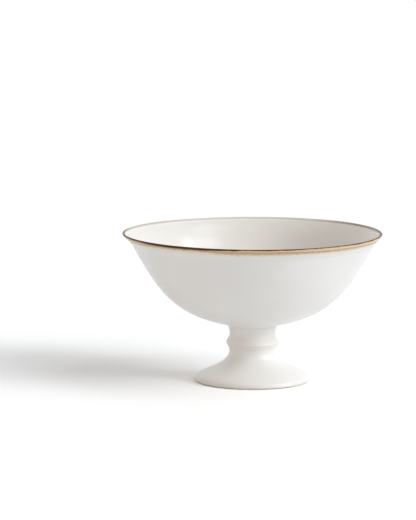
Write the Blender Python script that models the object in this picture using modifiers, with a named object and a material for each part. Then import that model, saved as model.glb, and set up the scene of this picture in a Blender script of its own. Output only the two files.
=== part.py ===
"""Footed dessert cup: a wide stoneware bowl with a turned-out lip, on a beaded stem and a flared foot.

The bowl, the stem and the foot are thrown apart and stuck together with slip, so each is a turned shape
about the same upright axis. The stem and the foot share one outline, which the joints cut square. The
origin lies on the axis, on the surface that the cup stands on. Sizes are in metres, and +Z is up.
"""

import math

import bpy
from mathutils import Vector
from mathutils.geometry import interpolate_bezier

# Bowl. A lean is measured from upright, and a slope from level.
RIM_DIAMETER = 0.1400
BOWL_HEIGHT = 0.0493
LIP_FLARE = 0.0054
LIP_FLARE_HEIGHT = 0.0067
LIP_LEAN = math.radians(50.0)
WALL_LEAN = math.radians(28.5)
BASE_SLOPE = math.radians(12.2)
LIP_THICKNESS = 0.0012
WALL_THICKNESS = 0.0017
BASE_THICKNESS = 0.0048
FLOOR_THICKNESS = 0.0036

# Iron glaze band over the lip: how far it runs down the surface on each side.
BAND_OUTSIDE = 0.0026
BAND_INSIDE = 0.0008

# Stem and foot. Each rise is counted from the feature below it, starting at the floor.
LOWER_NECK_RISE = 0.0164
LOWER_NECK_DIAMETER = 0.0250
BEAD_RISE = 0.0044
BEAD_DIAMETER = 0.0284
UPPER_NECK_RISE = 0.0047
UPPER_NECK_DIAMETER = 0.0246
PAD_RISE = 0.0056
NECK_FILLET = 0.0031
FOOT_DIAMETER = 0.0620
FOOT_EDGE_RISE = 0.0011
FOOT_EDGE_ROUNDING = 0.0011
FOOT_SHOULDER_INSET = 0.0048
FOOT_SHOULDER_RISE = 0.0051
FOOT_SLOPE = math.radians(24.8)
STANDING_RING_WIDTH = 0.0036
STEM_WALL = 0.0048
HOLLOW_DROP = 0.0034
HOLLOW_SLOPE = math.radians(30.0)

# Slip joints, with the clearance that every pair of touching pieces keeps.
SLIP_THICKNESS = 0.0006
FOOT_JOINT_RISE = 0.0012
CLEARANCE = 0.0003

# How far each curve keeps the direction of its end, as a share of its span.
FLARE_EASE = 0.15
INNER_FLARE_EASE = 0.38
WALL_EASE = 0.45
BELLY_EASE = 0.425
FLOOR_EASE = 0.35
FILLET_EASE = 0.79
PAD_EASE = 0.03
NECK_EASE = 0.35
BEAD_EASE = 0.16
UNDERCUT_EASE = 0.50
FLARED_FOOT_EASE = 0.32
FOOT_SHOULDER_EASE = 0.15
FOOT_EDGE_EASE = 0.33

# Facets: round the axis, and along each curve.
BOWL_SEGMENTS = 64
PEDESTAL_SEGMENTS = 48
BELLY_POINTS = 13
FLARE_POINTS = 7
FLOOR_POINTS = 4
LIP_POINTS = 7
NECK_POINTS = 7
FOOT_POINTS = 9
EDGE_POINTS = 5
MERGE_DISTANCE = 0.00001

# Heights that follow from the rises, and the radii that follow from the neck.
LOWER_NECK_Z = LOWER_NECK_RISE
BEAD_Z = LOWER_NECK_Z + BEAD_RISE
UPPER_NECK_Z = BEAD_Z + UPPER_NECK_RISE
PAD_Z = UPPER_NECK_Z + PAD_RISE
RIM_Z = PAD_Z + BOWL_HEIGHT
FOOT_TOP_Z = LOWER_NECK_Z + FOOT_JOINT_RISE
STEM_BOTTOM_Z = FOOT_TOP_Z + CLEARANCE + SLIP_THICKNESS + CLEARANCE
STEM_TOP_Z = PAD_Z - CLEARANCE - SLIP_THICKNESS - CLEARANCE
HOLLOW_TOP_Z = LOWER_NECK_Z - HOLLOW_DROP
PAD_RADIUS = UPPER_NECK_DIAMETER / 2 + NECK_FILLET
BORE_RADIUS = min(UPPER_NECK_DIAMETER, LOWER_NECK_DIAMETER) / 2 - STEM_WALL

# Finishes: colour, and roughness.
WHITE_GLAZE = ((0.83, 0.81, 0.77), 0.32)
IRON_GLAZE = ((0.16, 0.09, 0.05), 0.38)
BARE_SLIP = ((0.66, 0.60, 0.51), 0.80)


def point(radius, height):
    """A point of a turned outline, at the +X side of the axis."""
    return Vector((radius, height))


def down(lean):
    """The direction down a surface that leans outwards from upright."""
    return Vector((-math.sin(lean), -math.cos(lean)))


def along(slope):
    """The direction away from the axis, up a slope."""
    return Vector((math.cos(slope), math.sin(slope)))


def curve(start, start_way, start_ease, end, end_way, end_ease, count):
    """A smooth curve that leaves its start one way and comes to its end from another, as points."""
    span = (end - start).length
    first_handle = start + start_way * start_ease * span
    last_handle = end + end_way * end_ease * span
    return [Vector(p) for p in interpolate_bezier(start, first_handle, last_handle, end, count)]


def joined(*stretches):
    """One outline from stretches that each start where the one before ends."""
    outline = list(stretches[0])
    for stretch in stretches[1:]:
        outline.extend(stretch[1:])
    return outline


def split(outline, distance):
    """An outline cut at a distance from its start: the stretch before the cut and the one after."""
    walked = 0.0
    for index in range(1, len(outline)):
        step = outline[index] - outline[index - 1]
        if walked + step.length > distance:
            cut = outline[index - 1] + step * ((distance - walked) / step.length)
            return outline[:index] + [cut], [cut] + outline[index:]
        walked += step.length
    raise ValueError("the cut lies beyond the end of the outline")


def between(outline, top, bottom):
    """The stretch of a downward outline between two heights, cut square at both."""
    stretch = []
    for upper, lower in zip(outline, outline[1:]):
        for height in (top, bottom):
            if lower.y < height < upper.y:
                stretch.append(lower.lerp(upper, (height - lower.y) / (upper.y - lower.y)))
        if bottom <= lower.y <= top:
            stretch.append(lower)
    if bottom <= outline[0].y <= top:
        stretch.insert(0, outline[0])
    return stretch


def bowl_side(lip, shoulder, base, flare_ease):
    """One side of the bowl's wall, from the lip down the flare and round the belly to the pad."""
    flare = curve(lip, down(LIP_LEAN), flare_ease, shoulder, -down(WALL_LEAN), flare_ease, FLARE_POINTS)
    belly = curve(shoulder, down(WALL_LEAN), WALL_EASE, base, along(BASE_SLOPE), BELLY_EASE, BELLY_POINTS)
    return joined(flare, belly)


def bowl_sides():
    """The outer and the inner side of the bowl's wall, and the round of the lip between them."""
    lip_radius = LIP_THICKNESS / 2
    lip_centre = point(RIM_DIAMETER / 2 - lip_radius, RIM_Z - lip_radius)
    lip_out = along(-LIP_LEAN)
    shoulder = point(RIM_DIAMETER / 2 - LIP_FLARE, RIM_Z - LIP_FLARE_HEIGHT)
    pad_edge = point(PAD_RADIUS, PAD_Z)
    outer = bowl_side(lip_centre + lip_out * lip_radius, shoulder, pad_edge, FLARE_EASE)
    inner_shoulder = shoulder - along(-WALL_LEAN) * WALL_THICKNESS
    inner_base = pad_edge + along(BASE_SLOPE + math.pi / 2) * BASE_THICKNESS
    inner = bowl_side(lip_centre - lip_out * lip_radius, inner_shoulder, inner_base, INNER_FLARE_EASE)
    turns = [math.pi * step / (LIP_POINTS - 1) for step in range(LIP_POINTS)]
    lip = [lip_centre + along(math.pi - LIP_LEAN - turn) * lip_radius for turn in turns]
    return outer, inner, lip


def band_seat_clearance(outer, inner):
    """How far along the wall the bowl stays back, so that the slanting seat keeps its clearance."""
    seat_outside = split(outer, BAND_OUTSIDE)[0][-1]
    seat_inside = split(inner, BAND_INSIDE)[0][-1]
    seat = (seat_inside - seat_outside).normalized()
    wall = (seat_outside - outer[0]).normalized()
    return CLEARANCE / abs(seat.cross(wall))


def bowl_outline():
    """From the floor's middle up the inside, over the band's seat, down the outside and along the pad."""
    outer, inner, _ = bowl_sides()
    back = band_seat_clearance(outer, inner)
    outside = split(outer, BAND_OUTSIDE + back)[1]
    inside = split(inner, BAND_INSIDE + back)[1]
    floor_middle = point(0.0, PAD_Z + FLOOR_THICKNESS)
    floor = curve(
        inside[-1], -along(BASE_SLOPE), FLOOR_EASE, floor_middle, along(0.0), FLOOR_EASE, FLOOR_POINTS
    )
    return joined(inside, floor)[::-1] + outside + [point(0.0, PAD_Z)]


def rim_band_outline():
    """A ring over the lip: down the outside, across the slanting seat and up the inside."""
    outer, inner, lip = bowl_sides()
    outside = split(outer, BAND_OUTSIDE)[0]
    inside = split(inner, BAND_INSIDE)[0]
    return outside + inside[:0:-1] + lip[:-1]


def pedestal_side():
    """The outside of the stem and the foot as one outline, from the bowl's pad down to the floor."""
    pad_edge = point(PAD_RADIUS, PAD_Z)
    upper_neck = point(UPPER_NECK_DIAMETER / 2, UPPER_NECK_Z)
    bead = point(BEAD_DIAMETER / 2, BEAD_Z)
    lower_neck = point(LOWER_NECK_DIAMETER / 2, LOWER_NECK_Z)
    foot_radius = FOOT_DIAMETER / 2
    shoulder = point(foot_radius - FOOT_SHOULDER_INSET, FOOT_SHOULDER_RISE)
    edge = point(foot_radius, FOOT_EDGE_RISE)
    ring_edge = point(foot_radius - FOOT_EDGE_ROUNDING, 0.0)
    sink = down(0.0)
    fall = along(-FOOT_SLOPE)
    return joined(
        curve(pad_edge, -along(BASE_SLOPE), PAD_EASE, upper_neck, -sink, FILLET_EASE, NECK_POINTS),
        curve(upper_neck, sink, NECK_EASE, bead, -sink, NECK_EASE, NECK_POINTS),
        curve(bead, sink, BEAD_EASE, lower_neck, -sink, UNDERCUT_EASE, NECK_POINTS),
        curve(lower_neck, sink, FLARED_FOOT_EASE, shoulder, -fall, FLARED_FOOT_EASE, FOOT_POINTS),
        curve(shoulder, fall, FOOT_SHOULDER_EASE, edge, -sink, FOOT_EDGE_EASE, EDGE_POINTS),
        curve(edge, sink, FOOT_EDGE_EASE, ring_edge, along(0.0), FOOT_EDGE_EASE, EDGE_POINTS),
    )


def foot_outline():
    """The flared foot: outside, standing ring, the hollow underneath and the bore up into the stem."""
    outside = between(pedestal_side(), FOOT_TOP_Z, 0.0)
    ring_inside = point(FOOT_DIAMETER / 2 - FOOT_EDGE_ROUNDING - STANDING_RING_WIDTH, 0.0)
    bore_mouth = point(BORE_RADIUS, HOLLOW_TOP_Z)
    rise = along(math.pi - HOLLOW_SLOPE)
    hollow = curve(
        ring_inside, rise, FLARED_FOOT_EASE, bore_mouth, down(0.0), FLARED_FOOT_EASE, FOOT_POINTS
    )
    return outside + hollow + [point(BORE_RADIUS, FOOT_TOP_Z)]


def bored_outline(top, bottom):
    """A stretch of the stem between two heights, with the bore through it."""
    bore = [point(BORE_RADIUS, bottom), point(BORE_RADIUS, top)]
    return between(pedestal_side(), top, bottom) + bore


def glaze(name, finish):
    """A plain Principled material from a finish."""
    colour, roughness = finish
    material = bpy.data.materials.new(name)
    material.use_nodes = True
    shader = material.node_tree.nodes["Principled BSDF"]
    shader.inputs["Base Color"].default_value = (*colour, 1.0)
    shader.inputs["Roughness"].default_value = roughness
    shader.inputs["Metallic"].default_value = 0.0
    material.diffuse_color = (*colour, 1.0)
    return material


def turned_piece(name, outline, seat, closed, segments, finish, collection, parent):
    """A named piece turned from its outline, with its own origin at the height where it sits."""
    mesh = bpy.data.meshes.new(name)
    vertices = [(p.x, 0.0, p.y - seat) for p in outline]
    edges = [(index, index + 1) for index in range(len(outline) - 1)]
    if closed:
        edges.append((len(outline) - 1, 0))
    mesh.from_pydata(vertices, edges, [])
    mesh.materials.append(glaze(name + "_finish", finish))
    piece = bpy.data.objects.new(name, mesh)
    piece.location.z = seat
    piece.parent = parent
    collection.objects.link(piece)
    screw = piece.modifiers.new("Turn", "SCREW")
    screw.axis = "Z"
    screw.angle = 2 * math.pi
    screw.steps = segments
    screw.render_steps = segments
    screw.use_merge_vertices = True
    screw.merge_threshold = MERGE_DISTANCE
    screw.use_smooth_shade = True
    return piece


def main():
    for old in list(bpy.data.objects):
        bpy.data.objects.remove(old, do_unlink=True)
    collection = bpy.data.collections.new("dessert_cup")
    bpy.context.scene.collection.children.link(collection)
    centre = bpy.data.objects.new("dessert_cup_centre", None)
    collection.objects.link(centre)

    foot_slip_bottom = FOOT_TOP_Z + CLEARANCE
    bowl_slip_bottom = STEM_TOP_Z + CLEARANCE
    stem = bored_outline(STEM_TOP_Z, STEM_BOTTOM_Z)
    foot_slip = bored_outline(foot_slip_bottom + SLIP_THICKNESS, foot_slip_bottom)
    bowl_slip = bored_outline(bowl_slip_bottom + SLIP_THICKNESS, bowl_slip_bottom)
    pieces = (
        ("foot", foot_outline(), 0.0, True, PEDESTAL_SEGMENTS, WHITE_GLAZE),
        ("foot_slip_joint", foot_slip, foot_slip_bottom, True, PEDESTAL_SEGMENTS, BARE_SLIP),
        ("stem", stem, STEM_BOTTOM_Z, True, PEDESTAL_SEGMENTS, WHITE_GLAZE),
        ("bowl_slip_joint", bowl_slip, bowl_slip_bottom, True, PEDESTAL_SEGMENTS, BARE_SLIP),
        ("bowl", bowl_outline(), PAD_Z, False, BOWL_SEGMENTS, WHITE_GLAZE),
        ("rim_band", rim_band_outline(), RIM_Z, True, BOWL_SEGMENTS, IRON_GLAZE),
    )
    for name, outline, seat, closed, segments, finish in pieces:
        turned_piece(name, outline, seat, closed, segments, finish, collection, centre)


main()
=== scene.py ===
"""Looks of a footed stoneware dessert cup: white satin glaze, iron-brown lip and bare clay standing ring.

Each piece is turned from the outline of its solid, in finer steps, and replaces it. Only the flare of the lip
differs: inside the bowl it runs further down than the solid's. Sizes are in metres and +Z is up, as in the
frame. The left, right, front and back are those of the camera's view.
"""

import math

import bmesh
import bpy
import numpy as np
from mathutils import Matrix, Vector
from mathutils.geometry import interpolate_bezier


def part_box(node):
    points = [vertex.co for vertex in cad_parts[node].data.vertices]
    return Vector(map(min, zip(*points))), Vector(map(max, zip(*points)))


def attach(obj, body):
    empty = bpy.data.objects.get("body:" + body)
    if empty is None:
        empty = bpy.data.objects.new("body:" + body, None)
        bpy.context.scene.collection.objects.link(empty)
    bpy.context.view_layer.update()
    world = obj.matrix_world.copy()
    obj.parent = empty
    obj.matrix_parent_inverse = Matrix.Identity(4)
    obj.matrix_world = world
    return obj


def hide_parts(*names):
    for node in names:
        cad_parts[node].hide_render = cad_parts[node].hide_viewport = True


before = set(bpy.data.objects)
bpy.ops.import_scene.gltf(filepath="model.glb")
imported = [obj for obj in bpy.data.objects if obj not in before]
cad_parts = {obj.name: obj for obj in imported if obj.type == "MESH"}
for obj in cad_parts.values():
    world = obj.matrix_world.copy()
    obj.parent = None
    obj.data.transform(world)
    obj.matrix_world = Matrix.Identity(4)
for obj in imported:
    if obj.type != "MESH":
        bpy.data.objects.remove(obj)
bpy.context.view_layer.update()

# Sizes that the solids give.
RIM_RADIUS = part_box("rim_band")[1].x
RIM_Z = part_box("rim_band")[1].z
PAD_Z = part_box("bowl")[0].z
STEM_TOP_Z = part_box("stem")[1].z
STEM_BOTTOM_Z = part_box("stem")[0].z
BEAD_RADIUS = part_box("stem")[1].x
FOOT_TOP_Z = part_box("foot")[1].z
FOOT_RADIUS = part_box("foot")[1].x

# Bowl. A lean is measured from upright, and a slope from level.
LIP_FLARE = 0.0054
LIP_FLARE_HEIGHT = 0.0067
INNER_FLARE_HEIGHT = 0.0126
LIP_LEAN = math.radians(50.0)
WALL_LEAN = math.radians(28.5)
INNER_WALL_LEAN = math.radians(28.0)
BASE_SLOPE = math.radians(12.2)
LIP_THICKNESS = 0.0012
WALL_THICKNESS = 0.0018
BASE_THICKNESS = 0.0048
FLOOR_THICKNESS = 0.0036

# Iron glaze band: how far it runs down the wall on each side, below the round of the lip.
BAND_OUTSIDE = 0.0026
BAND_INSIDE = 0.0008

# Stem and foot.
LOWER_NECK_Z = FOOT_TOP_Z - 0.0012
BEAD_Z = LOWER_NECK_Z + 0.0044
UPPER_NECK_Z = PAD_Z - 0.0056
LOWER_NECK_RADIUS = 0.0125
UPPER_NECK_RADIUS = 0.0123
PAD_RADIUS = 0.0154
BORE_RADIUS = 0.0075
FOOT_EDGE_RISE = 0.0011
FOOT_EDGE_ROUNDING = 0.0011
FOOT_SHOULDER_INSET = 0.0048
FOOT_SHOULDER_RISE = 0.0051
FOOT_SLOPE = math.radians(24.8)
STANDING_RING_WIDTH = 0.0036
HOLLOW_TOP_Z = LOWER_NECK_Z - 0.0034
HOLLOW_SLOPE = math.radians(30.0)

# How far each curve keeps the direction of its end, as a share of its span.
FLARE_EASE = 0.15
INNER_FLARE_EASE = 0.36
WALL_EASE = 0.45
BELLY_EASE = 0.425
FLOOR_EASE = 0.35
FILLET_EASE = 0.79
PAD_EASE = 0.03
NECK_EASE = 0.35
BEAD_EASE = 0.16
UNDERCUT_EASE = 0.50
FLARED_FOOT_EASE = 0.32
FOOT_SHOULDER_EASE = 0.15
FOOT_EDGE_EASE = 0.33

# Steps round the axis and along each curve, and the angle from which an edge stays sharp.
SEGMENTS = 240
BELLY_POINTS = 56
FLARE_POINTS = 24
FLOOR_POINTS = 12
LIP_POINTS = 25
NECK_POINTS = 18
FOOT_POINTS = 28
EDGE_POINTS = 12
SHARP_ANGLE = math.radians(40.0)

# Unevenness of thrown clay: the lip is a little oval, off centre and out of level. The turn is in radians.
LIP_OVAL = 0.00023
LIP_DRIFT = 0.00030
OUT_OF_LEVEL = 0.00014
LEVEL_TURN = 1.0

# Camera: it looks past the middle of the cup, so that the cup stands low and to the right.
CAMERA_DISTANCE = 1.6
CAMERA_ELEVATION = math.radians(8.755)
CAMERA_TARGET = Vector((0.0, 0.0, 0.0396))
AIM_LEFT = 0.02413
AIM_UP = 0.02550
CAMERA_ROLL = math.radians(0.13)
LENS_MM = 205.4
SENSOR_MM = 36.0

# A tall soft box at the right, turned forward, as lamps: elevation, turn forward, angle across, strength.
# The fourth is the smallest, and makes the bright spot inside the bowl.
BOX_LAMPS = (
    (math.radians(19.0), math.radians(20.0), math.radians(12.0), 0.69),
    (math.radians(30.0), math.radians(15.0), math.radians(18.0), 0.46),
    (math.radians(34.0), math.radians(34.0), math.radians(30.0), 0.81),
    (math.radians(38.3), math.radians(4.6), math.radians(6.5), 0.105),
    (math.radians(60.0), math.radians(17.0), math.radians(24.0), 0.30),
)
BOX_COLOUR = (0.968, 1.00, 1.040)

# The room's light, as directions and colours: the left, the warm left front, the cool ceiling at the back
# and the upper right. The room is shown white.
ROOM_SIDES = (
    ((-1.0, 0.0, 0.0), (0.560, 0.575, 0.540)),
    ((-1.0, -1.0, 0.0), (0.570, 0.445, 0.360)),
    ((0.0, 1.0, 1.0), (0.555, 0.570, 0.610)),
    ((1.0, 0.0, 1.0), (0.425, 0.445, 0.440)),
)
ROOM_SHOWN = (1.0, 1.0, 1.0, 1.0)

# The floor gives back less light than it shows, so that it is plain white outside the shadow.
FLOOR_HALF_SIDE = 6.0
FLOOR_BOUNCE = (0.91, 0.91, 0.91, 1.0)
FLOOR_SHOWN = (1.145, 1.140, 1.135, 1.0)

# Colours of the finishes.
WHITE = (0.865, 0.850, 0.825, 1.0)
# Darker, warmer white: painted shade inside the bowl, and pooled glaze in the clouds.
SHADED_AND_POOLED_WHITE = (0.790, 0.762, 0.717, 1.0)
THIN_WHITE = (0.740, 0.680, 0.610, 1.0)
SLIP_WHITE = (0.845, 0.825, 0.790, 1.0)
CREST_WHITE = (0.865, 0.810, 0.745, 1.0)
BARE_CLAY = (0.560, 0.490, 0.410, 1.0)
IRON_DARK = (0.080, 0.030, 0.011, 1.0)
IRON_BROWN = (0.335, 0.112, 0.026, 1.0)
IRON_THIN = (0.680, 0.635, 0.560, 1.0)
IRON_LIGHT_TAN = (0.760, 0.610, 0.400, 1.0)
IRON_TAN = (0.580, 0.370, 0.180, 1.0)
IRON_STAIN = (0.815, 0.760, 0.635, 1.0)

# In the finishes a pair of numbers is where a change starts and where it is full. A run is in millimetres
# along the glaze from the crest of the lip, less than nothing on the inside.
MILLIMETRES = 1000.0
NOISE_MIDDLE = 0.5
NOISE_DETAIL = 3.0

# White glaze: its clouds, its grain and its throwing lines.
CLOUD_SIZE = 0.022
GRAIN_SIZE = 0.0016
GRAIN_SEED = 0.7
LINE_SIZE = 0.0022
LINE_DETAIL = 2.0
LINE_STRETCH = (0.06, 0.06, 1.0)
LINE_SEED = 1.9

# White glaze: where it turns darker and warmer, inside the bowl as painted shade and in the clouds where it
# pools, and the shares of that colour there.
INSIDE_SHADE_RUN = (-1.0, -4.0)
INSIDE_SHADE_SHARE = 0.9
POOLED_CLOUD = (0.35, 0.65)
POOLED_PATCHES = 0.2

# White glaze: heights of the pale crest on the bead, and of the thin glaze and the bare clay at the foot.
CREST_START = (BEAD_Z - 0.0012, BEAD_Z - 0.0005)
CREST_END = (BEAD_Z + 0.0004, BEAD_Z + 0.0012)
THIN_END = (0.0010, 0.0045)
THIN_SHARE = 0.45
BARE_END = (0.00060, 0.00090)
HEIGHT_WANDER = 0.0006

# Roughness of the smoothest and the roughest spots, what bare clay adds to it, gloss, and relief.
SATIN_OUTSIDE = (0.30, 0.36)
SATIN_INSIDE = (0.19, 0.26)
SATIN_SPOTS = (0.4, 1.0)
GRAIN_IN_SATIN = 0.5
BARE_ROUGHNESS = 0.4
WHITE_SPECULAR = 0.40
IRON_SPECULAR = 0.15
GRAIN_IN_RELIEF = 0.4
RELIEF_DEPTH = 0.00001

# Places round the lip at which the iron glaze changes: from back to front, and across the cup.
LIP_FRONT = (0.028, -0.012)
LIP_LEFT = (-0.010, -0.032)
LIP_FAR_LEFT = (-0.042, -0.062)
LIP_LEFT_TIP = (-0.047, -0.066)
LIP_RIGHT = (0.010, 0.040)
LIP_NARROW_RIGHT = (0.015, 0.035)
LIP_BACK_LEFT = (-0.030, -0.060)
LIP_BACK_RIGHT = (0.032, 0.060)

# Dark and brown iron glaze: the runs at which they start and end, and how much of them lies at the back.
OUTSIDE_RUN = (0.2, 0.6)
START_FRONT = -0.9
START_BACK = -1.35
START_BACK_RIGHT = -1.75
START_WIDTH = 0.6
BACK_LEFT_SHARE = 0.18
BACK_RIGHT_SHARE = 0.42
DARK_END = 0.85
DARK_END_RIGHT = 0.68
DARK_END_LEFT = 1.70
DARK_END_TIP = 0.90
DARK_FADE = (-0.25, 0.20)
BROWN_WIDTH = 0.45
BROWN_WIDTH_LEFT = 0.85

# A blot where the dark glaze runs further down: its place across, its reach on both sides, and its run.
BLOT_PLACE = -0.0142
BLOT_REACH = (0.0085, 0.0025)
BLOT_RUN = 0.30

# Tan iron glaze: the runs at which it deepens and fades, and how far it lies before the dark glaze.
DEEP_START = 1.6
DEEP_START_RIGHT = 2.1
DEEP_WIDTH = 0.7
TAN_FADE = (2.8, 5.7)
TAN_FADE_RIGHT = (3.3, 5.0)
TAN_FADE_LEFT = (2.0, 4.0)
TAN_FADE_FAR_LEFT = (2.7, 4.9)
STAIN_FADE = (3.2, 6.8)
TAN_LEAD = 0.8

# Unevenness of the iron glaze: how far its edges wander, and how far the speckles fray the lower one.
WANDER_SIZE = 0.0045
WANDER_RUN = 0.7
SPECKLE_SIZE = 0.0009
SPECKLE_SEED = 0.3
SPECKLE_RUN = 4.0


def point(radius, height):
    """A point of a turned outline."""
    return Vector((radius, height))


def down(lean):
    """The direction down a surface that leans outwards from upright."""
    return Vector((-math.sin(lean), -math.cos(lean)))


def along(slope):
    """The direction away from the axis, up a slope."""
    return Vector((math.cos(slope), math.sin(slope)))


def curve(start, start_way, start_ease, end, end_way, end_ease, count):
    """A smooth curve that leaves its start one way and comes to its end from another, as points."""
    span = (end - start).length
    first_handle = start + start_way * start_ease * span
    last_handle = end + end_way * end_ease * span
    return np.array([p[:2] for p in interpolate_bezier(start, first_handle, last_handle, end, count)])


def joined(*lengths):
    """One outline from lengths that each start where the one before ends."""
    return np.vstack([lengths[0]] + [length[1:] for length in lengths[1:]])


def bowl_side(lip, shoulder, base, flare_ease, wall_lean):
    """One side of the bowl's wall, from the lip down the flare and round the belly to the pad."""
    flare = curve(lip, down(LIP_LEAN), flare_ease, shoulder, -down(wall_lean), flare_ease, FLARE_POINTS)
    belly = curve(shoulder, down(wall_lean), WALL_EASE, base, along(BASE_SLOPE), BELLY_EASE, BELLY_POINTS)
    return joined(flare, belly)


def wall_section():
    """The bowl's wall: from the middle of the floor up the inside, over the lip and down to the pad.

    Each row is a radius, a height, and the run: how far it is along the glaze from the crest of the lip,
    less than nothing on the inside.
    """
    lip_radius = LIP_THICKNESS / 2
    lip_centre = point(RIM_RADIUS - lip_radius, RIM_Z - lip_radius)
    lip_out = along(-LIP_LEAN)
    shoulder = point(RIM_RADIUS - LIP_FLARE, RIM_Z - LIP_FLARE_HEIGHT)
    pad_edge = point(PAD_RADIUS, PAD_Z)
    outer = bowl_side(lip_centre + lip_out * lip_radius, shoulder, pad_edge, FLARE_EASE, WALL_LEAN)
    flare_end = RIM_Z - INNER_FLARE_HEIGHT
    outer_radius, outer_height = outer[::-1].T
    beside = point(np.interp(flare_end, outer_height, outer_radius), flare_end)
    inner_shoulder = beside - along(-WALL_LEAN) * WALL_THICKNESS
    inner_base = pad_edge + along(BASE_SLOPE + math.pi / 2) * BASE_THICKNESS
    inner_lip = lip_centre - lip_out * lip_radius
    inner = bowl_side(inner_lip, inner_shoulder, inner_base, INNER_FLARE_EASE, INNER_WALL_LEAN)
    middle = point(0.0, PAD_Z + FLOOR_THICKNESS)
    floor = curve(middle, along(0.0), FLOOR_EASE, inner_base, -along(BASE_SLOPE), FLOOR_EASE, FLOOR_POINTS)
    turns = np.linspace(0.0, math.pi, LIP_POINTS)
    lip = np.array([lip_centre + along(math.pi - LIP_LEAN - turn) * lip_radius for turn in turns])
    outline = joined(floor, inner[::-1], lip, outer)
    walked = np.concatenate(([0.0], np.cumsum(np.linalg.norm(np.diff(outline, axis=0), axis=1))))
    crest = outline[:, 1].argmax()
    return np.column_stack((outline, walked - walked[crest]))


def stretch(section, start, end):
    """The part of a wall section between two runs, cut exactly at both."""
    run = section[:, 2]
    middle = section[(run > start) & (run < end)]
    first, last = [[np.interp(cut, run, column) for column in section.T] for cut in (start, end)]
    return np.vstack((first, middle, last))


def band_edges():
    """The runs at which the iron band ends, on the inside and on the outside, in metres."""
    lip_radius = LIP_THICKNESS / 2
    inside = (math.pi / 2 - LIP_LEAN) * lip_radius + BAND_INSIDE
    outside = (math.pi / 2 + LIP_LEAN) * lip_radius + BAND_OUTSIDE
    return -inside, outside


def pedestal_side():
    """The outside of the stem and the foot as one outline, from the bowl's pad down to the floor."""
    pad_edge = point(PAD_RADIUS, PAD_Z)
    upper_neck = point(UPPER_NECK_RADIUS, UPPER_NECK_Z)
    bead = point(BEAD_RADIUS, BEAD_Z)
    lower_neck = point(LOWER_NECK_RADIUS, LOWER_NECK_Z)
    shoulder = point(FOOT_RADIUS - FOOT_SHOULDER_INSET, FOOT_SHOULDER_RISE)
    edge = point(FOOT_RADIUS, FOOT_EDGE_RISE)
    ring_edge = point(FOOT_RADIUS - FOOT_EDGE_ROUNDING, 0.0)
    sink = down(0.0)
    fall = along(-FOOT_SLOPE)
    return joined(
        curve(pad_edge, -along(BASE_SLOPE), PAD_EASE, upper_neck, -sink, FILLET_EASE, NECK_POINTS),
        curve(upper_neck, sink, NECK_EASE, bead, -sink, NECK_EASE, NECK_POINTS),
        curve(bead, sink, BEAD_EASE, lower_neck, -sink, UNDERCUT_EASE, NECK_POINTS),
        curve(lower_neck, sink, FLARED_FOOT_EASE, shoulder, -fall, FLARED_FOOT_EASE, FOOT_POINTS),
        curve(shoulder, fall, FOOT_SHOULDER_EASE, edge, -sink, FOOT_EDGE_EASE, EDGE_POINTS),
        curve(edge, sink, FOOT_EDGE_EASE, ring_edge, along(0.0), FOOT_EDGE_EASE, EDGE_POINTS),
    )


def between(outline, top, bottom):
    """The part of a falling outline between two heights, cut square at both."""
    radius, height = outline[::-1].T
    middle = outline[(outline[:, 1] < top) & (outline[:, 1] > bottom)]
    first, last = [(np.interp(cut, height, radius), cut) for cut in (top, bottom)]
    return np.vstack((first, middle, last))


def bored(outline, top, bottom):
    """A stretch of the stem between two heights, with the bore through it."""
    return np.vstack((between(outline, top, bottom), (BORE_RADIUS, bottom), (BORE_RADIUS, top)))


def foot_outline(outline):
    """The flared foot: outside, standing ring, the hollow underneath and the bore into the stem."""
    ring_inside = point(FOOT_RADIUS - FOOT_EDGE_ROUNDING - STANDING_RING_WIDTH, 0.0)
    bore_mouth = point(BORE_RADIUS, HOLLOW_TOP_Z)
    rise = along(math.pi - HOLLOW_SLOPE)
    hollow = curve(
        ring_inside, rise, FLARED_FOOT_EASE, bore_mouth, down(0.0), FLARED_FOOT_EASE, FOOT_POINTS
    )
    return np.vstack((between(outline, FOOT_TOP_Z, 0.0), hollow, (BORE_RADIUS, FOOT_TOP_Z)))


def thrown(radius, height, angle):
    """Points round the axis, with the unevenness of thrown clay growing towards the rim."""
    lip = np.clip((height - RIM_Z + LIP_FLARE_HEIGHT) / LIP_FLARE_HEIGHT, 0.0, 1.0)
    radius = radius - LIP_OVAL * lip * np.cos(2 * angle)
    level = height + OUT_OF_LEVEL * height / RIM_Z * np.cos(2 * angle - LEVEL_TURN)
    return np.column_stack((radius * np.cos(angle) - LIP_DRIFT * lip, radius * np.sin(angle), level))


def turned(name, outline, run, finish):
    """Adds a piece turned from a closed outline, or from one that starts and ends on the axis.

    Its points keep the run, in millimetres, for the finish.
    """
    closed = outline[0, 0] > 0.0
    angles = np.linspace(0.0, 2 * math.pi, SEGMENTS, endpoint=False)
    builder = bmesh.new()
    run_layer = builder.verts.layers.float.new("run")
    rings = []
    for (radius, height), distance in zip(outline, run):
        turns = angles if radius > 0.0 else angles[:1]
        ring = []
        for place in thrown(np.full(len(turns), radius), np.full(len(turns), height), turns):
            vertex = builder.verts.new(place)
            vertex[run_layer] = distance * MILLIMETRES
            ring.append(vertex)
        rings.append(ring)
    following = rings[1:] + rings[:1] if closed else rings[1:]
    for ring, other in zip(rings, following):
        for index in range(SEGMENTS):
            corners = [ring[index % len(ring)], ring[(index + 1) % len(ring)]]
            corners += [other[(index + 1) % len(other)], other[index % len(other)]]
            builder.faces.new(list(dict.fromkeys(corners)))
    bmesh.ops.recalc_face_normals(builder, faces=builder.faces[:])
    mesh = bpy.data.meshes.new(name)
    builder.to_mesh(mesh)
    builder.free()
    mesh.shade_smooth()
    mesh.set_sharp_from_angle(angle=SHARP_ANGLE)
    mesh.materials.append(finish)
    piece = bpy.data.objects.new(name + "_glazed", mesh)
    bpy.context.scene.collection.objects.link(piece)
    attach(piece, "root")
    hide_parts(name)


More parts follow.
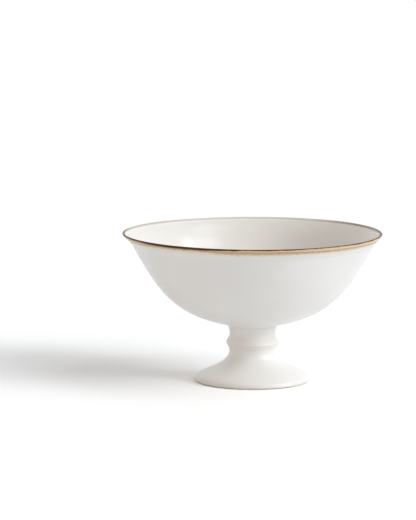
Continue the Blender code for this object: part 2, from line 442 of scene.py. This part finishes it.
def socket_named(node_sockets, name, kind):
    """A socket by name and type, where a node has several of one name."""
    return next(s for s in node_sockets if s.name == name and s.type == kind)


class Nodes:
    """Short ways to add nodes to a node tree. Each takes numbers, vectors, colours or sockets."""

    def __init__(self, tree):
        self.nodes = tree.nodes
        self.links = tree.links

    def feed(self, socket, value):
        """Sets a socket to a value, or links it to another socket."""
        if isinstance(value, bpy.types.NodeSocket):
            self.links.new(value, socket)
        else:
            socket.default_value = value

    def operate(self, kind, operation, *values):
        """The outputs of a node that does one operation."""
        node = self.nodes.new(kind)
        node.operation = operation
        for socket, value in zip(node.inputs, values):
            self.feed(socket, value)
        return node.outputs

    def math(self, operation, *numbers):
        """A number worked out from others."""
        return self.operate("ShaderNodeMath", operation, *numbers)["Value"]

    def vector_math(self, operation, *vectors):
        """The outputs of an operation on vectors."""
        return self.operate("ShaderNodeVectorMath", operation, *vectors)

    def mix(self, share, first, second):
        """A colour between two colours."""
        node = self.nodes.new("ShaderNodeMix")
        node.data_type = "RGBA"
        self.feed(node.inputs["Factor"], share)
        self.feed(socket_named(node.inputs, "A", "RGBA"), first)
        self.feed(socket_named(node.inputs, "B", "RGBA"), second)
        return socket_named(node.outputs, "Result", "RGBA")

    def where_seen(self, light, shown):
        """One colour for the light, and another for what is seen directly, in a gloss or through glass."""
        path = self.nodes.new("ShaderNodeLightPath").outputs
        seen = self.math("MAXIMUM", path["Is Camera Ray"], path["Is Glossy Ray"])
        seen = self.math("MAXIMUM", seen, path["Is Transmission Ray"])
        return self.mix(seen, light, shown)


class Finish(Nodes):
    """A material with a Principled shader, and short ways to add the nodes that colour it."""

    def __init__(self, name):
        self.material = bpy.data.materials.new(name)
        self.material.use_nodes = True
        super().__init__(self.material.node_tree)
        self.shader = self.nodes["Principled BSDF"]
        self.place = self.nodes.new("ShaderNodeTexCoord").outputs["Object"]

    def shade(self, name, value):
        """Sets or links one of the shader's sockets."""
        self.feed(self.shader.inputs[name], value)

    def attribute(self, name):
        """A number that the mesh keeps at each point."""
        node = self.nodes.new("ShaderNodeAttribute")
        node.attribute_name = name
        return node.outputs["Fac"]

    def axis(self, name):
        """One coordinate of the surface, in metres."""
        node = self.nodes.new("ShaderNodeSeparateXYZ")
        self.links.new(self.place, node.inputs["Vector"])
        return node.outputs[name]

    def noise(self, size, detail=NOISE_DETAIL, scale=(1.0, 1.0, 1.0), seed=0.0):
        """Even noise about its middle, with features of a size in metres."""
        mapping = self.nodes.new("ShaderNodeMapping")
        mapping.inputs["Location"].default_value = (seed, seed, seed)
        mapping.inputs["Scale"].default_value = scale
        self.links.new(self.place, mapping.inputs["Vector"])
        node = self.nodes.new("ShaderNodeTexNoise")
        node.inputs["Scale"].default_value = 1.0 / size
        node.inputs["Detail"].default_value = detail
        self.links.new(mapping.outputs["Vector"], node.inputs["Vector"])
        return node.outputs["Fac"]

    def plus(self, first, second, share):
        """A number plus a share of another."""
        return self.math("ADD", first, self.math("MULTIPLY", second, share))

    def ramp(self, value, start, end, low=0.0, high=1.0):
        """A smooth step from low to high as a value goes from start to end."""
        node = self.nodes.new("ShaderNodeMapRange")
        node.interpolation_type = "SMOOTHSTEP"
        for name, setting in (
            ("Value", value), ("From Min", start), ("From Max", end), ("To Min", low), ("To Max", high)
        ):
            self.feed(node.inputs[name], setting)
        return node.outputs["Result"]

    def fade(self, value, start, end):
        """A smooth step from 1 to 0 as a value goes from start to end."""
        return self.ramp(value, start, end, 1.0, 0.0)

    def blend(self, share, low, high):
        """A smooth step from low to high as a share goes from 0 to 1."""
        return self.ramp(share, 0.0, 1.0, low, high)

    def bump(self, height, distance):
        """Fine relief of a depth in metres."""
        node = self.nodes.new("ShaderNodeBump")
        node.inputs["Distance"].default_value = distance
        self.links.new(height, node.inputs["Height"])
        self.links.new(node.outputs["Normal"], self.shader.inputs["Normal"])


def lay_iron(finish, white):
    """The iron glaze over the lip: dark on the crest, then brown and tan, with a speckled lower edge.

    The dark part is broad at the left and narrow at the right, and at the back it keeps to the outside.
    Gives the colour, and the share of dark glaze in it.
    """
    across = finish.axis("X")
    left = finish.ramp(across, *LIP_LEFT)
    far_left = finish.ramp(across, *LIP_FAR_LEFT)
    right = finish.ramp(across, *LIP_RIGHT)
    along_glaze = finish.attribute("run")
    outside = finish.ramp(along_glaze, *OUTSIDE_RUN)
    front = finish.math("MAXIMUM", finish.ramp(finish.axis("Y"), *LIP_FRONT), outside)
    wander = finish.math("SUBTRACT", finish.noise(WANDER_SIZE), NOISE_MIDDLE)
    speckle = finish.math("SUBTRACT", finish.noise(SPECKLE_SIZE, seed=SPECKLE_SEED), NOISE_MIDDLE)
    run = finish.plus(along_glaze, wander, WANDER_RUN)
    frayed = finish.plus(run, speckle, SPECKLE_RUN)

    back_left = finish.ramp(across, *LIP_BACK_LEFT, 0.0, BACK_LEFT_SHARE)
    back_right = finish.ramp(across, *LIP_BACK_RIGHT, 0.0, BACK_RIGHT_SHARE)
    back_start = finish.blend(right, START_BACK, START_BACK_RIGHT)
    past_start = finish.math("SUBTRACT", run, finish.blend(front, back_start, START_FRONT))
    thick = finish.blend(front, finish.math("ADD", back_left, back_right), 1.0)
    thick = finish.math("MULTIPLY", thick, finish.ramp(past_start, 0.0, START_WIDTH))

    thin_end = finish.ramp(across, *LIP_NARROW_RIGHT, DARK_END, DARK_END_RIGHT)
    thick_end = finish.blend(left, thin_end, DARK_END_LEFT)
    dark_end = finish.ramp(across, *LIP_LEFT_TIP, thick_end, DARK_END_TIP)
    from_blot = finish.math("ABSOLUTE", finish.math("SUBTRACT", across, BLOT_PLACE))
    blot = finish.ramp(from_blot, *BLOT_REACH, 0.0, BLOT_RUN)
    past_dark = finish.math("SUBTRACT", run, finish.math("ADD", dark_end, blot))
    dark = finish.math("MULTIPLY", finish.fade(past_dark, *DARK_FADE), thick)
    brown_width = finish.blend(left, BROWN_WIDTH, BROWN_WIDTH_LEFT)
    brown = finish.math("MULTIPLY", finish.fade(past_dark, 0.0, brown_width), thick)

    past_light = finish.math("SUBTRACT", run, finish.blend(right, DEEP_START, DEEP_START_RIGHT))
    deeper = finish.ramp(past_light, 0.0, DEEP_WIDTH)
    fade_start, fade_end = [
        finish.blend(left, finish.blend(right, *on_right), finish.blend(far_left, *on_left))
        for on_right, on_left in zip(
            zip(TAN_FADE, TAN_FADE_RIGHT), zip(TAN_FADE_LEFT, TAN_FADE_FAR_LEFT)
        )
    ]
    started = finish.ramp(past_start, -TAN_LEAD, 0.0)
    tan = finish.math("MULTIPLY", finish.fade(frayed, fade_start, fade_end), started)
    stain = finish.math("MULTIPLY", finish.fade(frayed, *STAIN_FADE), started)
    tan_colour = finish.mix(front, IRON_THIN, finish.mix(deeper, IRON_LIGHT_TAN, IRON_TAN))

    colour = finish.mix(tan, finish.mix(stain, white, IRON_STAIN), tan_colour)
    colour = finish.mix(brown, colour, IRON_BROWN)
    return finish.mix(dark, colour, IRON_DARK), dark


def glazed(name, white):
    """White satin glaze with painted shade inside the bowl, that pools a little, is pale on the bead, thins
    at the foot and ends above clay.
    """
    finish = Finish(name)
    cloud = finish.noise(CLOUD_SIZE)
    grain = finish.noise(GRAIN_SIZE, seed=GRAIN_SEED)
    lines = finish.noise(LINE_SIZE, LINE_DETAIL, LINE_STRETCH, LINE_SEED)
    height = finish.plus(finish.axis("Z"), grain, HEIGHT_WANDER)

    # Painted shade: the inside of the bowl is darker and warmer than the outside.
    inside = finish.ramp(finish.attribute("run"), *INSIDE_SHADE_RUN, 0.0, INSIDE_SHADE_SHARE)
    patches = finish.ramp(cloud, *POOLED_CLOUD, 0.0, POOLED_PATCHES)
    body = finish.mix(finish.math("ADD", inside, patches), white, SHADED_AND_POOLED_WHITE)
    crest = finish.math("MULTIPLY", finish.ramp(height, *CREST_START), finish.fade(height, *CREST_END))
    body = finish.mix(crest, body, CREST_WHITE)
    body = finish.mix(finish.ramp(height, *THIN_END, THIN_SHARE, 0.0), body, THIN_WHITE)
    bare = finish.fade(height, *BARE_END)
    body = finish.mix(bare, body, BARE_CLAY)
    colour, dark = lay_iron(finish, body)
    finish.shade("Base Color", colour)

    smoothest, roughest = [
        finish.ramp(inside, 0.0, INSIDE_SHADE_SHARE, *spots) for spots in zip(SATIN_OUTSIDE, SATIN_INSIDE)
    ]
    satin = finish.ramp(finish.plus(cloud, grain, GRAIN_IN_SATIN), *SATIN_SPOTS, smoothest, roughest)
    finish.shade("Roughness", finish.plus(satin, bare, BARE_ROUGHNESS))
    finish.shade("Specular IOR Level", finish.blend(dark, WHITE_SPECULAR, IRON_SPECULAR))
    finish.bump(finish.plus(lines, grain, GRAIN_IN_RELIEF), RELIEF_DEPTH)
    return finish.material


def add_floor():
    """A plain white floor that keeps the shadow."""
    mesh = bpy.data.meshes.new("floor")
    builder = bmesh.new()
    bmesh.ops.create_grid(builder, x_segments=1, y_segments=1, size=FLOOR_HALF_SIDE)
    builder.to_mesh(mesh)
    builder.free()
    material = bpy.data.materials.new("floor_white")
    material.use_nodes = True
    white = Nodes(material.node_tree)
    white.nodes.remove(white.nodes["Principled BSDF"])
    diffuse = white.nodes.new("ShaderNodeBsdfDiffuse")
    white.feed(diffuse.inputs["Color"], white.where_seen(FLOOR_BOUNCE, FLOOR_SHOWN))
    white.feed(white.nodes["Material Output"].inputs["Surface"], diffuse.outputs["BSDF"])
    mesh.materials.append(material)
    floor = bpy.data.objects.new("floor", mesh)
    bpy.context.scene.collection.objects.link(floor)


def add_room():
    """The room's light, with its sides blended into each other, and white where it is seen."""
    world = bpy.data.worlds.new("room")
    world.use_nodes = True
    room = Nodes(world.node_tree)
    direction = room.nodes.new("ShaderNodeTexCoord").outputs["Generated"]
    light = (0.0, 0.0, 0.0)
    for side, colour in ROOM_SIDES:
        towards = room.vector_math("DOT_PRODUCT", direction, Vector(side).normalized())["Value"]
        facing = room.math("MAXIMUM", towards, 0.0)
        share = room.math("MULTIPLY", facing, facing)
        light = room.vector_math("MULTIPLY_ADD", share, colour, light)["Vector"]
    room.feed(room.nodes["Background"].inputs["Color"], room.where_seen(light, ROOM_SHOWN))
    bpy.context.scene.world = world


def add_soft_box():
    """The lamps of the tall soft box."""
    for number, (elevation, forward, angle, strength) in enumerate(BOX_LAMPS):
        lamp = bpy.data.lights.new("soft_box", "SUN")
        lamp.energy = strength
        lamp.angle = angle
        lamp.color = BOX_COLOUR
        box = bpy.data.objects.new("soft_box_%d" % number, lamp)
        level = math.cos(elevation)
        towards = Vector((level * math.cos(forward), -level * math.sin(forward), math.sin(elevation)))
        box.rotation_euler = towards.to_track_quat("Z", "Y").to_euler()
        box.location = towards
        bpy.context.scene.collection.objects.link(box)


def add_camera():
    """The photograph's view: low, from far off, with a slight roll."""
    lens = bpy.data.cameras.new("camera")
    lens.lens = LENS_MM
    lens.sensor_width = SENSOR_MM
    camera = bpy.data.objects.new("camera", lens)
    rise = math.sin(CAMERA_ELEVATION)
    level = math.cos(CAMERA_ELEVATION)
    camera.location = CAMERA_TARGET + CAMERA_DISTANCE * Vector((0.0, -level, rise))
    aim = CAMERA_TARGET + Vector((-AIM_LEFT, AIM_UP * rise, AIM_UP * level))
    facing = (aim - camera.location).to_track_quat("-Z", "Y").to_matrix()
    camera.rotation_euler = (facing @ Matrix.Rotation(CAMERA_ROLL, 3, "Z")).to_euler()
    bpy.context.scene.collection.objects.link(camera)
    bpy.context.scene.camera = camera


def add_cup():
    """The six pieces of the cup, meeting where the solids do."""
    section = wall_section()
    first_run = section[0, 2]
    last_run = section[-1, 2]
    band_inside, band_outside = band_edges()
    band = stretch(section, band_inside, band_outside)
    inside = stretch(section, first_run, band_inside)
    outside = stretch(section, band_outside, last_run)
    bowl = np.vstack((inside, outside, (0.0, PAD_Z, last_run)))
    side = pedestal_side()
    white = glazed("white_glaze_finish", WHITE)
    iron = glazed("iron_glaze_finish", WHITE)
    slip = glazed("fired_slip_finish", SLIP_WHITE)
    turned("rim_band", band[:, :2], band[:, 2], iron)
    turned("bowl", bowl[:, :2], bowl[:, 2], white)
    for name, outline, finish, slot in (
        ("bowl_slip_joint", bored(side, PAD_Z, STEM_TOP_Z), slip, "fired_slip"),
        ("stem", bored(side, STEM_TOP_Z, STEM_BOTTOM_Z), white, "white_glaze"),
        ("foot_slip_joint", bored(side, STEM_BOTTOM_Z, FOOT_TOP_Z), slip, "fired_slip"),
        ("foot", foot_outline(side), white, "white_glaze"),
    ):
        turned(name, outline, np.full(len(outline), last_run), finish)


add_cup()
add_floor()
add_room()
add_soft_box()
add_camera()
bpy.context.scene.view_settings.view_transform = "Standard"
